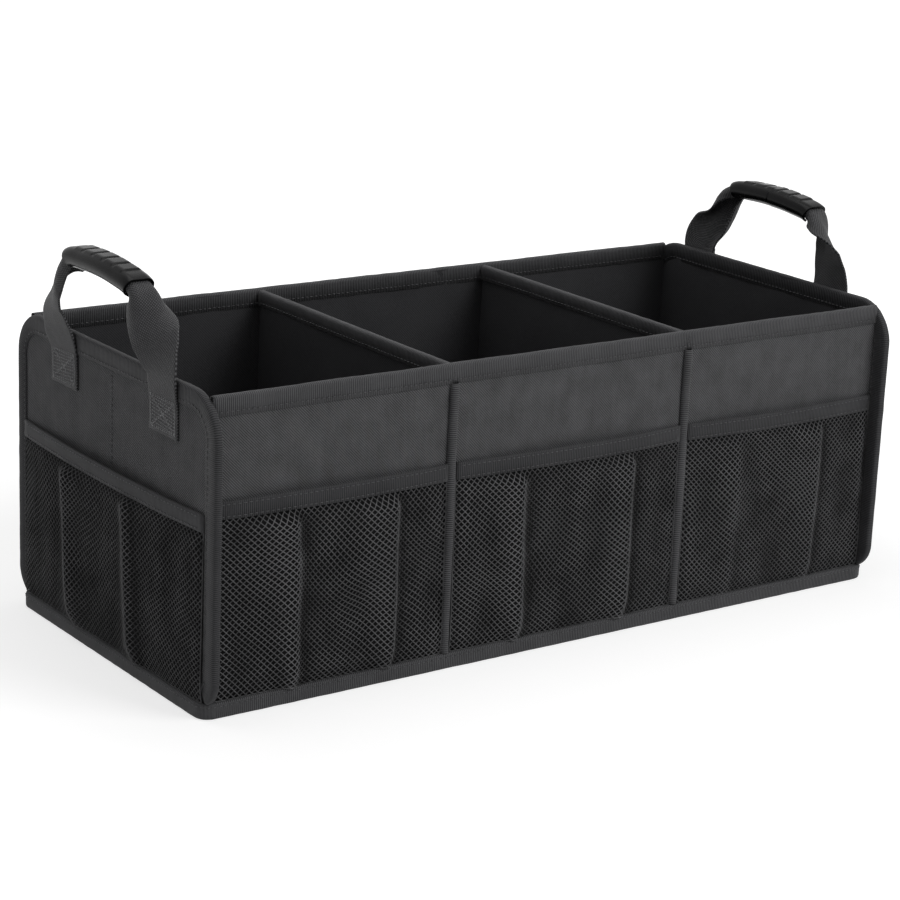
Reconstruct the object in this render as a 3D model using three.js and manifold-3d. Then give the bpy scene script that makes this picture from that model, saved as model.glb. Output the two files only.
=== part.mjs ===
// A collapsible car trunk organizer: board-stiffened cloth walls bound with tape, three compartments,
// net pockets on the front and on both ends, and a webbing handle with a rubber grip on each end.
// Millimetres, +Z up, +X along the box, -Y to the front. The origin is under the middle, on the ground.

import * as THREE from "three";
import { mergeVertices } from "three/addons/utils/BufferGeometryUtils.js";
import Module from "manifold-3d";

const wasm = await Module();
wasm.setup();

// The box, measured over the outer faces of its wall cloth.
const BOX_LENGTH = 640;
const BOX_DEPTH = 276;
const WALL_HEIGHT = 238;
const END_HEIGHT = 240;

// The layers of a wall, and the clearance that neighbouring pieces keep.
const CLOTH = 0.8;
const BOARD = 2.2;
const LINING = 0.6;
const TAPE = 0.7;
const GAP = 0.3;
const WALL = CLOTH + BOARD + LINING + 2 * GAP;
const FOLD_HALF = 2; // half of the soft strip between two boards

// The end panels stand past the front and back walls as a bound flange with round corners.
const FLANGE = 14;
const TOP_CORNER = 34;
const BOTTOM_CORNER = 22;
const BOTTOM_ROUNDING = 19;
const BINDING_WIDTH = 14.5;
const BOARD_DROP = 8;

// The tape over the top of the front and back walls.
const HEM_WIDTH = 14.5;
const HEM_CROWN = 0.9;

// The bound edge around the base.
const BASE_HEIGHT = 12.5;
const BASE_PROUD = 4.5;
const BASE_CORNER = 12;
const BASE_FOOT = 14;
const BASE_TAPE = 0.8;

// The floor and the two fixed dividers.
const FLOOR_CLOTH = 0.8;
const FLOOR_BOARD = 2.4;
const DIVIDER_OFFSET = 112;
const DIVIDER_DROP = 1.5;
const DIVIDER_BOARD = 2.2;
const DIVIDER_TAPE_WIDTH = 12;
const DIVIDER_CROWN = 2;

// The bound seams on the outside of the front and back walls, where the dividers are sewn in.
const RIB_WIDTH = 7;
const RIB_DEPTH = 4;

// The net pockets: a net sewn in at the base, gathered into a folded band at its mouth.
const NET = 0.6;
const BAND_TAPE = 0.5;
const BAND_WIDTH = 13;
const FRONT_POCKET_TOP = 162;
const END_POCKET_TOP = 153;
const MOUTH = 5;
const NET_SLACK = 1.5;
const FOLD_WIDTH = 7;
const FOLD_DEPTH = 3;
const NET_CELL_COLUMNS = 6;
const NET_CELL_ROWS = 4;
const NET_CELL_SHARE = 0.36;

// The handles: flat webbing at its sewn feet, folded lengthwise inside a slotted grip.
const STRAP_WIDTH = 40;
const STRAP = 1.6;
const FOOT_SPACING = 158;
const FOOT_BOTTOM = 196.5;
const HANDLE_RISE = 67;
const GRIP_LENGTH = 98;
const GRIP_ARCH = 4;
const GRIP_TILT = 2;
const HANDLE_LEAN = 4;
// The webbing is limp, so each leg hangs its own way. foot shifts the leg sideways, bends are points of its line
// as [sideways from the foot, off the wall, above the wall], and turns and folds are the webbing's angles in
// degrees at even steps from the wall's top to the grip.
const LEGS = {
  left: {
    back: {
      foot: -7,
      bends: [[4, 4, 3], [7, 6, 17], [4, 4, 37]],
      turns: [0, 8, 24, 48, 74, 90],
      folds: [0, 0, 20, 70, 115, 150],
    },
    front: {
      foot: 0,
      bends: [[0, 2, 3], [-5, 2, 17], [-16, 2, 36]],
      turns: [0, 12, 30, 52, 76, 90],
      folds: [0, 0, 12, 50, 95, 150],
    },
  },
  right: {
    back: {
      foot: 13,
      bends: [[4, 3, 3], [-5, 3, 15], [-24, 3, 32]],
      turns: [0, 2, 6, 14, 40, 85],
      folds: [0, 24, 65, 95, 120, 150],
    },
    front: {
      foot: -4,
      bends: [[-1, 1, 3], [-4, 1, 18], [-8, 2, 34]],
      turns: [0, 6, 14, 34, 66, 90],
      folds: [0, 0, 12, 50, 100, 150],
    },
  },
};
const GRIP_WALL = 2.1;
const GRIP_RIDGE = 0.9;
const GRIP_RIDGES = 5;
const FOLDED_FLAT = 5;
const FOLDED_RADIUS = 4.2;
const FOLDED_TURN = (150 / 180) * Math.PI;
const GRIP_LIP = 3;

// Places worked out from the sizes above.
const BASE_TOP = BASE_HEIGHT + GAP;
const FOOT_TOP = BASE_TAPE + GAP;
const INNER_X = BOX_LENGTH / 2 - WALL - GAP;
const INNER_Y = BOX_DEPTH / 2 - WALL - GAP;
const FLOOR_TOP = FOOT_TOP + FLOOR_CLOTH + GAP;
const WALL_TOP = WALL_HEIGHT - TAPE - GAP - HEM_CROWN;
const BAND = NET + 2 * GAP + 2 * BAND_TAPE;
const POCKET_SEAT = GAP + BAND / 2;

const material = (color, roughness) => new THREE.MeshStandardMaterial({ color, roughness, metalness: 0 });
const clothMaterial = material(0x1d1d1f, 0.9);
const liningMaterial = material(0x161617, 0.95);
const tapeMaterial = material(0x151516, 0.85);
const netMaterial = material(0x333335, 0.9);
const boardMaterial = material(0x5b544a, 0.95);
const webbingMaterial = material(0x1a1a1b, 0.8);
const rubberMaterial = material(0x0e0e0f, 0.4);

// Joins and cuts

function toSolid(geometry) {
  const bare = geometry.clone();
  bare.deleteAttribute("normal");
  bare.deleteAttribute("uv");
  const merged = mergeVertices(bare, 1e-4);
  return new wasm.Manifold(
    new wasm.Mesh({
      numProp: 3,
      vertProperties: new Float32Array(merged.attributes.position.array),
      triVerts: new Uint32Array(merged.index.array),
    }),
  );
}

function toGeometry(solid) {
  const mesh = solid.getMesh();
  const geometry = new THREE.BufferGeometry();
  geometry.setAttribute("position", new THREE.BufferAttribute(mesh.vertProperties, 3));
  geometry.setIndex(new THREE.BufferAttribute(mesh.triVerts, 1));
  geometry.computeVertexNormals();
  return geometry;
}

function cut(geometry, tools) {
  return toGeometry(tools.reduce((left, tool) => left.subtract(toSolid(tool)), toSolid(geometry)));
}

// Basic forms

function box([x0, x1], [y0, y1], [z0, z1]) {
  const geometry = new THREE.BoxGeometry(x1 - x0, y1 - y0, z1 - z0);
  return geometry.translate((x0 + x1) / 2, (y0 + y1) / 2, (z0 + z1) / 2);
}

function extrude(shape, depth, curveSegments = 6) {
  return new THREE.ExtrudeGeometry(shape, { depth, bevelEnabled: false, curveSegments });
}

// A section in the (y, z) plane, extruded along x from x0 to x1.
function alongX(shape, x0, x1) {
  const turn = new THREE.Matrix4().makeBasis(
    new THREE.Vector3(0, 1, 0),
    new THREE.Vector3(0, 0, 1),
    new THREE.Vector3(1, 0, 0),
  );
  return extrude(shape, x1 - x0).applyMatrix4(turn).translate(x0, 0, 0);
}

// An outline in the (x, z) plane, extruded inwards along -y from outer to inner.
function throughWall(shape, outer, inner) {
  const turn = new THREE.Matrix4().makeBasis(
    new THREE.Vector3(1, 0, 0),
    new THREE.Vector3(0, 0, 1),
    new THREE.Vector3(0, -1, 0),
  );
  return extrude(shape, outer - inner).applyMatrix4(turn).translate(0, outer, 0);
}

function rectangle(halfX, halfY, corner = 0) {
  const shape = new THREE.Shape();
  if (!corner) {
    shape.moveTo(-halfX, -halfY).lineTo(halfX, -halfY).lineTo(halfX, halfY).lineTo(-halfX, halfY);
    return shape;
  }
  shape.moveTo(-halfX + corner, -halfY).lineTo(halfX - corner, -halfY);
  shape.absarc(halfX - corner, -halfY + corner, corner, -Math.PI / 2, 0);
  shape.absarc(halfX - corner, halfY - corner, corner, 0, Math.PI / 2);
  shape.absarc(-halfX + corner, halfY - corner, corner, Math.PI / 2, Math.PI);
  shape.absarc(-halfX + corner, -halfY + corner, corner, Math.PI, Math.PI * 1.5);
  return shape;
}

// Tape folded over an edge: two legs and a low crown, around a slot of the given width.
function foldedTape(slot, leg, tape, crown) {
  const inner = slot / 2;
  const outer = inner + tape;
  const shape = new THREE.Shape();
  shape.moveTo(-outer, -leg).lineTo(-inner, -leg).lineTo(-inner, 0);
  shape.absellipse(0, 0, inner, crown, Math.PI, 0, true);
  shape.lineTo(inner, -leg).lineTo(outer, -leg).lineTo(outer, 0);
  shape.absellipse(0, 0, outer, crown + tape, 0, Math.PI, false);
  return shape;
}

// A closed sheet on both sides of surface(u, v), with extra(u, v) added on its outer side.
function thickSheet(surface, us, vs, thickness, extra = () => 0) {
  const step = 1e-3;
  const columns = us.length;
  const rows = vs.length;
  const positions = [];
  for (const side of [1, -1])
    for (const v of vs)
      for (const u of us) {
        const du = surface(u + step, v).sub(surface(u - step, v));
        const dv = surface(u, v + step).sub(surface(u, v - step));
        const reach = side > 0 ? thickness / 2 + extra(u, v) : -thickness / 2;
        const point = surface(u, v).addScaledVector(du.cross(dv).normalize(), reach);
        positions.push(point.x, point.y, point.z);
      }
  const at = (side, i, j) => side * columns * rows + j * columns + i;
  const index = [];
  const quad = (a, b, c, d) => index.push(a, b, c, a, c, d);
  for (let j = 0; j < rows - 1; j++)
    for (let i = 0; i < columns - 1; i++) {
      quad(at(0, i, j), at(0, i + 1, j), at(0, i + 1, j + 1), at(0, i, j + 1));
      quad(at(1, i, j + 1), at(1, i + 1, j + 1), at(1, i + 1, j), at(1, i, j));
    }
  for (let i = 0; i < columns - 1; i++) {
    quad(at(1, i, 0), at(1, i + 1, 0), at(0, i + 1, 0), at(0, i, 0));
    quad(at(0, i, rows - 1), at(0, i + 1, rows - 1), at(1, i + 1, rows - 1), at(1, i, rows - 1));
  }
  for (let j = 0; j < rows - 1; j++) {
    quad(at(0, 0, j), at(0, 0, j + 1), at(1, 0, j + 1), at(1, 0, j));
    quad(at(1, columns - 1, j), at(1, columns - 1, j + 1), at(0, columns - 1, j + 1), at(0, columns - 1, j));
  }
  const geometry = new THREE.BufferGeometry();
  geometry.setAttribute("position", new THREE.Float32BufferAttribute(positions, 3));
  geometry.setIndex(index);
  geometry.computeVertexNormals();
  return geometry;
}

function add(group, name, geometry, surface) {
  const mesh = new THREE.Mesh(geometry, surface);
  mesh.name = name;
  group.add(mesh);
}

// A wall's own frame: x along the wall, +y outwards from the outer face of its cloth, z up.
function wallGroup(turn, distance) {
  const group = new THREE.Group();
  group.rotation.z = turn;
  group.position.set(-Math.sin(turn) * distance, Math.cos(turn) * distance, 0);
  return group;
}

// Net pockets

// A net pocket between x0 and x1 of a wall. Its mouth bows out from the wall, and soft folds run up the net.
function addPocket(group, label, [x0, x1], top, folds) {
  const half = (x1 - x0) / 2;
  const middle = (x0 + x1) / 2;
  const bow = (x) => MOUTH * (1 - ((x - middle) / half) ** 2);
  const netTop = top - BAND_TAPE - GAP;
  const foldEnd = top - BAND_WIDTH - GAP;
  const bottom = BASE_TOP;
  const fold = (x) =>
    Math.max(0, ...folds.map((share) => 1 - Math.abs(x - x0 - share * 2 * half) / FOLD_WIDTH));
  const height = netTop - bottom;
  const surface = (u, v) => {
    const x = x1 - u * 2 * half;
    const z = bottom + v * height;
    const rise = Math.min(1, (z - bottom) / (foldEnd - bottom));
    const fade = Math.min(1, Math.max(0, (foldEnd - z) / (foldEnd / 3)));
    const out = NET_SLACK * (1 - rise) + bow(x) * Math.sqrt(Math.max(rise, 0)) + FOLD_DEPTH * fold(x) * fade;
    return new THREE.Vector3(x, POCKET_SEAT + out, z);
  };
  const across = Array.from({ length: 7 }, (_, i) => i / 6);
  for (const share of folds)
    for (const side of [-1, 0, 1]) across.push(1 - share + (side * FOLD_WIDTH) / (2 * half));
  across.sort((a, b) => a - b);
  const up = [0, 0.2, 0.6, (foldEnd - bottom) / height, 1];
  const net = thickSheet(surface, across, up, NET);

  const cellX = (2 * half) / NET_CELL_COLUMNS;
  const cellZ = (foldEnd - bottom) / NET_CELL_ROWS;
  const cells = [];
  for (let row = 0; row < NET_CELL_ROWS; row++)
    for (let column = 0; column < NET_CELL_COLUMNS; column++) {
      const shape = new THREE.Shape();
      const x = x0 + (column + (row % 2 ? 0.62 : 0.38)) * cellX;
      const z = bottom + (row + 0.5) * cellZ;
      const wide = cellX * NET_CELL_SHARE;
      const tall = cellZ * NET_CELL_SHARE;
      shape.moveTo(x - wide, z).lineTo(x, z - tall).lineTo(x + wide, z).lineTo(x, z + tall);
      cells.push(throughWall(shape, MOUTH + FOLD_DEPTH + BAND, 0));
    }
  add(group, `${label}_net`, cut(net, cells), netMaterial);

  const strip = (thick) => {
    const shape = new THREE.Shape();
    const steps = 8;
    const place = (i) => x0 + (i / steps) * 2 * half;
    const outwards = (i, side) => POCKET_SEAT + bow(place(i)) + (side * thick) / 2;
    shape.moveTo(place(0), outwards(0, -1));
    for (let i = 1; i <= steps; i++) shape.lineTo(place(i), outwards(i, -1));
    for (let i = steps; i >= 0; i--) shape.lineTo(place(i), outwards(i, 1));
    return shape;
  };
  const band = extrude(strip(BAND), BAND_WIDTH).translate(0, 0, top - BAND_WIDTH);
  const slot = extrude(strip(NET + 2 * GAP), BAND_WIDTH).translate(0, 0, top - BAND_WIDTH - BAND_TAPE);
  add(group, `${label}_band`, cut(band, [slot]), tapeMaterial);
}

// Front and back walls

function addLongWall(root, label, turn, pockets) {
  const group = wallGroup(turn, BOX_DEPTH / 2);
  const mirror = Math.round(Math.cos(turn));
  const span = [-INNER_X, INNER_X];
  const board = -CLOTH - GAP;
  const lining = board - BOARD - GAP;
  add(group, `${label}_cloth`, box(span, [-CLOTH, 0], [FOOT_TOP, WALL_TOP]), clothMaterial);
  add(group, `${label}_lining`, box(span, [lining - LINING, lining], [FOOT_TOP, WALL_TOP]), liningMaterial);

  const sections = [
    ["left", -INNER_X, -DIVIDER_OFFSET],
    ["middle", -DIVIDER_OFFSET, DIVIDER_OFFSET],
    ["right", DIVIDER_OFFSET, INNER_X],
  ];
  for (const [side, from, to] of sections) {
    const [x0, x1] = mirror > 0 ? [from, to] : [-to, -from];
    const inset = [x0 + FOLD_HALF, x1 - FOLD_HALF];
    add(group, `${label}_board_${side}`, box(inset, [board - BOARD, board], [FOOT_TOP, WALL_TOP]), boardMaterial);
    if (!pockets) continue;
    const free = ([a, b]) => [
      a === -INNER_X ? a + TAPE + GAP : a + RIB_WIDTH / 2 + GAP,
      b === INNER_X ? b - TAPE - GAP : b - RIB_WIDTH / 2 - GAP,
    ];
    addPocket(group, `${label}_${side}`, free([x0, x1]), FRONT_POCKET_TOP, pockets[side]);
  }

  const hem = foldedTape(WALL + 2 * GAP, HEM_WIDTH - TAPE - HEM_CROWN, TAPE, HEM_CROWN);
  const hemGeometry = alongX(hem, ...span).translate(0, -WALL / 2, WALL_HEIGHT - TAPE - HEM_CROWN);
  add(group, `${label}_hem_tape`, hemGeometry, tapeMaterial);

  for (const [side, sign] of [["left", -1], ["right", 1]]) {
    const shape = new THREE.Shape();
    shape.moveTo(-RIB_WIDTH / 2, 0);
    shape.absellipse(0, 0, RIB_WIDTH / 2, RIB_DEPTH - GAP, Math.PI, 0, true);
    const rib = extrude(shape, WALL_HEIGHT - HEM_WIDTH - GAP - BASE_TOP, 5);
    rib.translate(sign * mirror * DIVIDER_OFFSET, GAP, BASE_TOP);
    add(group, `${label}_rib_${side}`, rib, tapeMaterial);
  }
  root.add(group);
}

// End panels

// The end panel's outline grown by a margin: round corners on top, and a flange that narrows at the base.
function endOutline(grow, low, narrows) {
  const half = BOX_DEPTH / 2 + FLANGE - TAPE - GAP + grow;
  const top = END_HEIGHT - TAPE - GAP + grow;
  const corner = TOP_CORNER + grow;
  const bend = BOTTOM_CORNER + grow;
  const centre = BASE_TOP + BOTTOM_ROUNDING;
  const shape = new THREE.Shape();
  const angle = Math.asin((centre - BASE_TOP) / bend);
  if (narrows) {
    const tucked = Math.min(BOX_DEPTH / 2, half - bend * (1 - Math.cos(angle)));
    shape.moveTo(-tucked, low).lineTo(tucked, low).lineTo(tucked, BASE_TOP);
    shape.absarc(half - bend, centre, bend, -angle, 0);
  } else {
    shape.moveTo(-half, low).lineTo(half, low);
  }
  shape.absarc(half - corner, top - corner, corner, 0, Math.PI / 2);
  shape.absarc(corner - half, top - corner, corner, Math.PI / 2, Math.PI);
  if (narrows) {
    shape.absarc(bend - half, centre, bend, Math.PI, Math.PI + angle);
    shape.lineTo(-Math.min(BOX_DEPTH / 2, half - bend * (1 - Math.cos(angle))), BASE_TOP);
  }
  return shape;
}

function endBinding() {
  const outer = throughWall(endOutline(TAPE + GAP, BASE_TOP, true), TAPE + GAP, -WALL - TAPE - GAP);
  const below = 2 * BASE_TOP;
  const cavity = throughWall(endOutline(GAP, BASE_TOP - below, true), GAP, -WALL - GAP);
  const open = throughWall(
    endOutline(TAPE + GAP - BINDING_WIDTH, BASE_TOP - below, false),
    BINDING_WIDTH,
    -WALL - BINDING_WIDTH,
  );
  // The inner leg stops where the front and back walls, with their hem tapes, meet the panel.
  const wallSpan = [BOX_DEPTH / 2 - WALL - TAPE - 2 * GAP, BOX_DEPTH / 2 + TAPE + 2 * GAP];
  const notch = (y0, y1) => box([y0, y1], [-WALL - BINDING_WIDTH, -WALL - GAP], [0, WALL_HEIGHT + GAP]);
  return cut(outer, [cavity, open, notch(...wallSpan), notch(-wallSpan[1], -wallSpan[0])]);
}

function addEnd(root, label, turn, folds) {
  const group = wallGroup(turn, BOX_LENGTH / 2);
  const mirror = Math.round(Math.sin(turn));
  const board = -CLOTH - GAP;
  const lining = board - BOARD - GAP;
  const outline = endOutline(0, FOOT_TOP, true);
  add(group, `${label}_end_cloth`, throughWall(outline, 0, -CLOTH), clothMaterial);
  add(group, `${label}_end_lining`, throughWall(outline, lining, lining - LINING), liningMaterial);
  for (const [side, sign] of [["front", -1], ["back", 1]]) {
    const near = FOLD_HALF * sign * mirror;
    const far = (BOX_DEPTH / 2 - WALL) * sign * mirror;
    const span = [Math.min(near, far), Math.max(near, far)];
    const rise = [FOOT_TOP, END_HEIGHT - BOARD_DROP];
    add(group, `${label}_end_board_${side}`, box(span, [board - BOARD, board], rise), boardMaterial);
  }
  add(group, `${label}_end_binding`, endBinding(), tapeMaterial);
  const reach = BOX_DEPTH / 2 + FLANGE - BINDING_WIDTH - GAP;
  addPocket(group, `${label}_end`, [-reach, reach], END_POCKET_TOP, folds);
  addHandle(group, label, mirror);
  root.add(group);
}

// Handles

// The line of the strap's middle, in the end wall's frame: up one leg, along the grip and down the other.
// back is the side, 1 or -1, on which the box's back lies.
function handleCurve(back, legs) {
  const seat = GAP + STRAP / 2;
  const clear = seat + TAPE + GAP;
  const crest = END_HEIGHT + HANDLE_RISE;
  const leg = (side) => {
    const { foot: shift, bends } = side === back ? legs.back : legs.front;
    const foot = FOOT_SPACING / 2 + shift;
    const grip = GRIP_LENGTH / 2;
    const end = crest - GRIP_ARCH + side * back * GRIP_TILT;
    const points = [
      [foot, seat, FOOT_BOTTOM],
      [foot, seat, FOOT_BOTTOM + 18],
      [foot, clear, END_HEIGHT - BINDING_WIDTH],
      ...bends.map(([along, off, up]) => [foot + along, clear + off, END_HEIGHT + up]),
      [grip + 8, HANDLE_LEAN, end - 7],
      [grip - 2, HANDLE_LEAN, end],
      [grip / 2, HANDLE_LEAN, crest - GRIP_ARCH / 4 + (side * back * GRIP_TILT) / 2],
    ];
    return points.map(([x, y, z]) => new THREE.Vector3(side * x, y, z));
  };
  const middle = new THREE.Vector3(0, HANDLE_LEAN, crest);
  return new THREE.CatmullRomCurve3([...leg(-1), middle, ...leg(1).reverse()], false, "centripetal");
}

// A strip folded lengthwise: flat in the middle, turned by up to turn on each side. Returns [across, down].
function foldedSection(w, flat, radius, turn) {
  const bent = Math.max(0, Math.abs(w) - flat);
  const arc = radius * FOLDED_TURN;
  const angle = (Math.min(bent, arc) / arc) * turn;
  const rest = Math.max(0, bent - arc);
  const bend = turn > 1e-3 ? arc / turn : 0;
  const across = bend ? bend * Math.sin(angle) : Math.min(bent, arc);
  const down = bend ? bend * (1 - Math.cos(angle)) : 0;
  return [
    Math.sign(w) * (Math.min(Math.abs(w), flat) + across + rest * Math.cos(angle)),
    down + rest * Math.sin(angle),
  ];
}

function addHandle(group, label, back) {
  const legs = LEGS[label];
  const curve = handleCurve(back, legs);
  const length = curve.getLength();
  const half = curve.getLengths(curve.arcLengthDivisions)[curve.arcLengthDivisions / 2];
  const gripStart = half - GRIP_LENGTH / 2;
  const gripEnd = half + GRIP_LENGTH / 2;
  const footLength = END_HEIGHT - FOOT_BOTTOM;
  // The webbing's turn or fold at s, in radians.
  const angleAt = (s, kind) => {
    const first = s < half;
    const angles = ((back === -1) === first ? legs.back : legs.front)[kind];
    const up = first ? s : length - s;
    const top = (first ? gripStart : length - gripEnd) - 3;
    const share = THREE.MathUtils.clamp((up - footLength) / (top - footLength), 0, 1) * (angles.length - 1);
    const step = Math.min(Math.floor(share), angles.length - 2);
    return THREE.MathUtils.degToRad(THREE.MathUtils.lerp(angles[step], angles[step + 1], share - step));
  };
  const place = (s, w, flat, radius) => {
    const u = THREE.MathUtils.clamp(s / length, 0, 1);
    const tangent = curve.getTangentAt(u);
    const outOfLoop = new THREE.Vector3(0, -1, 0).cross(tangent).normalize();
    const angle = angleAt(s, "turns");
    const normal = new THREE.Vector3(0, 1, 0).multiplyScalar(Math.cos(angle));
    normal.addScaledVector(outOfLoop, Math.sin(angle));
    normal.addScaledVector(tangent, -normal.dot(tangent)).normalize();
    const side = new THREE.Vector3().crossVectors(normal, tangent);
    const [across, down] = foldedSection(w, flat, radius, angleAt(s, "folds"));
    return curve.getPointAt(u).addScaledVector(side, across).addScaledVector(normal, -down);
  };
  const sectionSteps = (flat, radius, lip) => {
    const arc = radius * FOLDED_TURN;
    const half = [flat, flat + arc / 3, flat + (arc * 2) / 3, flat + arc, flat + arc + lip];
    return [...half.map((w) => -w).reverse(), ...half];
  };

  const gripSteps = 2 * GRIP_RIDGES + 2;
  const gripStations = Array.from(
    { length: gripSteps + 1 },
    (_, i) => gripStart + (i / gripSteps) * GRIP_LENGTH,
  );
  const legSteps = 12;
  const legStations = (leg) => Array.from({ length: legSteps }, (_, i) => (i / legSteps) ** 0.8 * leg);
  const stations = [
    ...legStations(gripStart),
    ...gripStations,
    ...legStations(length - gripEnd).map((s) => length - s).reverse(),
  ].map((s) => s / length);
  const lip = STRAP_WIDTH / 2 - FOLDED_FLAT - FOLDED_RADIUS * FOLDED_TURN;
  const strapAcross = sectionSteps(FOLDED_FLAT, FOLDED_RADIUS, lip).map((w) => w / STRAP_WIDTH);
  const strapSurface = (u, v) => place(u * length, v * STRAP_WIDTH, FOLDED_FLAT, FOLDED_RADIUS);
  add(group, `${label}_handle_strap`, thickSheet(strapSurface, stations, strapAcross, STRAP), webbingMaterial);

  // The grip follows the folded strap at a clearance, and its lips leave a slot below.
  const offset = STRAP / 2 + GAP + GRIP_WALL / 2;
  const gripRadius = FOLDED_RADIUS + offset;
  const reach = sectionSteps(FOLDED_FLAT, gripRadius, GRIP_LIP);
  const widest = reach.at(-1);
  const gripSurface = (u, v) => {
    const s = u * length;
    const tangent = curve.getTangentAt(THREE.MathUtils.clamp(u, 0, 1));
    const outOfLoop = new THREE.Vector3(0, -1, 0).cross(tangent).normalize();
    return place(s, v * widest, FOLDED_FLAT, gripRadius).addScaledVector(outOfLoop, offset);
  };
  const ridge = (u, v) => {
    const step = ((u * length - gripStart) / GRIP_LENGTH) * gripSteps;
    const onTop = Math.abs(v * widest) <= FOLDED_FLAT + 1e-6;
    const inside = step > 0.5 && step < gripSteps - 0.5;
    return onTop && inside && Math.round(step) % 2 === 0 ? GRIP_RIDGE : 0;
  };
  const grip = thickSheet(
    gripSurface,
    gripStations.map((s) => s / length),
    reach.map((w) => w / widest),
    GRIP_WALL,
    ridge,
  );
  add(group, `${label}_handle_grip`, grip, rubberMaterial);
}

// Base, floor and dividers

function addBase(root) {
  const halfX = BOX_LENGTH / 2;
  const halfY = BOX_DEPTH / 2;
  const ring = extrude(rectangle(halfX + BASE_PROUD, halfY + BASE_PROUD, BASE_CORNER), BASE_HEIGHT);
  const room = BASE_PROUD - BASE_TAPE;
  const cavityHeight = BASE_HEIGHT - 2 * BASE_TAPE;
  const cavity = extrude(rectangle(halfX + room, halfY + room, BASE_CORNER - BASE_TAPE), cavityHeight);
  const mouth = extrude(rectangle(halfX + GAP, halfY + GAP), BASE_HEIGHT).translate(0, 0, BASE_TAPE);
  const foot = BASE_PROUD - BASE_FOOT;
  const window = extrude(rectangle(halfX + foot, halfY + foot), 3 * BASE_HEIGHT).translate(0, 0, -BASE_HEIGHT);
  add(root, "base_binding", cut(ring, [cavity.translate(0, 0, BASE_TAPE), mouth, window]), tapeMaterial);

  const reachX = INNER_X - GAP;
  const reachY = INNER_Y - GAP;
  const clothLevel = [FOOT_TOP, FOOT_TOP + FLOOR_CLOTH];
  add(root, "floor_cloth", box([-reachX, reachX], [-reachY, reachY], clothLevel), clothMaterial);
  const beside = dividerThickness() / 2 + GAP;
  const boards = [
    ["left", -reachX, -DIVIDER_OFFSET - beside],
    ["middle", -DIVIDER_OFFSET + beside, DIVIDER_OFFSET - beside],
    ["right", DIVIDER_OFFSET + beside, reachX],
  ];
  for (const [side, x0, x1] of boards) {
    const level = [FLOOR_TOP, FLOOR_TOP + FLOOR_BOARD];
    add(root, `floor_board_${side}`, box([x0, x1], [-reachY, reachY], level), liningMaterial);
  }
}

const dividerThickness = () => DIVIDER_BOARD + 2 * GAP + 2 * CLOTH;

function addDivider(root, side, x) {
  const group = new THREE.Group();
  group.position.x = x;
  const halfY = INNER_Y - TAPE - GAP;
  const thick = dividerThickness();
  const top = WALL_HEIGHT - DIVIDER_DROP;
  const edge = top - TAPE - DIVIDER_CROWN;
  const sleeve = rectangle(thick / 2, halfY);
  sleeve.holes.push(rectangle(thick / 2 - CLOTH, halfY - CLOTH));
  const cover = extrude(sleeve, edge - GAP - FLOOR_TOP).translate(0, 0, FLOOR_TOP);
  add(group, `divider_${side}_cover`, cover, liningMaterial);
  const inside = halfY - CLOTH - GAP;
  const core = box([-DIVIDER_BOARD / 2, DIVIDER_BOARD / 2], [-inside, inside], [FLOOR_TOP, edge - GAP]);
  add(group, `divider_${side}_board`, core, boardMaterial);
  const tape = foldedTape(thick + 2 * GAP, DIVIDER_TAPE_WIDTH - TAPE - DIVIDER_CROWN, TAPE, DIVIDER_CROWN);
  const ridge = alongX(tape, -halfY, halfY).rotateZ(Math.PI / 2).translate(0, 0, edge);
  add(group, `divider_${side}_tape`, ridge, tapeMaterial);
  root.add(group);
}

const organizer = new THREE.Group();
addBase(organizer);
addLongWall(organizer, "front", Math.PI, { left: [0.24, 0.72], middle: [0.22, 0.69], right: [0.29, 0.72] });
addLongWall(organizer, "back", 0, null);
addEnd(organizer, "left", Math.PI / 2, [0.33, 0.7]);
addEnd(organizer, "right", -Math.PI / 2, [0.3, 0.67]);
addDivider(organizer, "left", -DIVIDER_OFFSET);
addDivider(organizer, "right", DIVIDER_OFFSET);

export default organizer;
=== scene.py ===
# A black collapsible trunk organizer: cloth over boards, taped edges, net pockets and webbing handles.

import bisect
import math

import bmesh
import bpy
from mathutils import Matrix, Vector, noise


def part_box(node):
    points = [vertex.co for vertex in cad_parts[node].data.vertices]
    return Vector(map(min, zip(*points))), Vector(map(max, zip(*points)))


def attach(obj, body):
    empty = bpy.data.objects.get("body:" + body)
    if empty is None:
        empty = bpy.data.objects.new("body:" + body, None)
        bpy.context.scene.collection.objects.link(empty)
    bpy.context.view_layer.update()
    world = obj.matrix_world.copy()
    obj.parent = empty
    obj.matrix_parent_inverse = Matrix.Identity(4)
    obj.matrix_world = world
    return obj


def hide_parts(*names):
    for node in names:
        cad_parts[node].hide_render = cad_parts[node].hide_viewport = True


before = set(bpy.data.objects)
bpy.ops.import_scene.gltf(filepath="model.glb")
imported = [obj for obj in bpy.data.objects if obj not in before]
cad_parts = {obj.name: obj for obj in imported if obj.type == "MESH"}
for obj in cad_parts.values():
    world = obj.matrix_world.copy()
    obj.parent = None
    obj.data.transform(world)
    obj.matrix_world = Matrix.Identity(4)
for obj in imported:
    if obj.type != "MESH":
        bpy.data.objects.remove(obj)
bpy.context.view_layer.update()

MM = 0.001

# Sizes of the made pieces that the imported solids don't show by themselves.
TAPE = 0.7 * MM
BAND_TAPE = 0.5 * MM
RIB_TAPE = 0.6 * MM
BASE_TAPE = 0.8 * MM
GAP = 0.3 * MM
FLANGE_CORNER = 35 * MM
FLANGE_BEND = 23 * MM
FLANGE_ROUNDING = 19 * MM
BINDING_WIDTH = 14.5 * MM
BASE_CORNER = 12 * MM
BASE_FOOT = 14 * MM
BASE_PROUD = 4.5 * MM
RIB_DEPTH = 3.5 * MM

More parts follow.
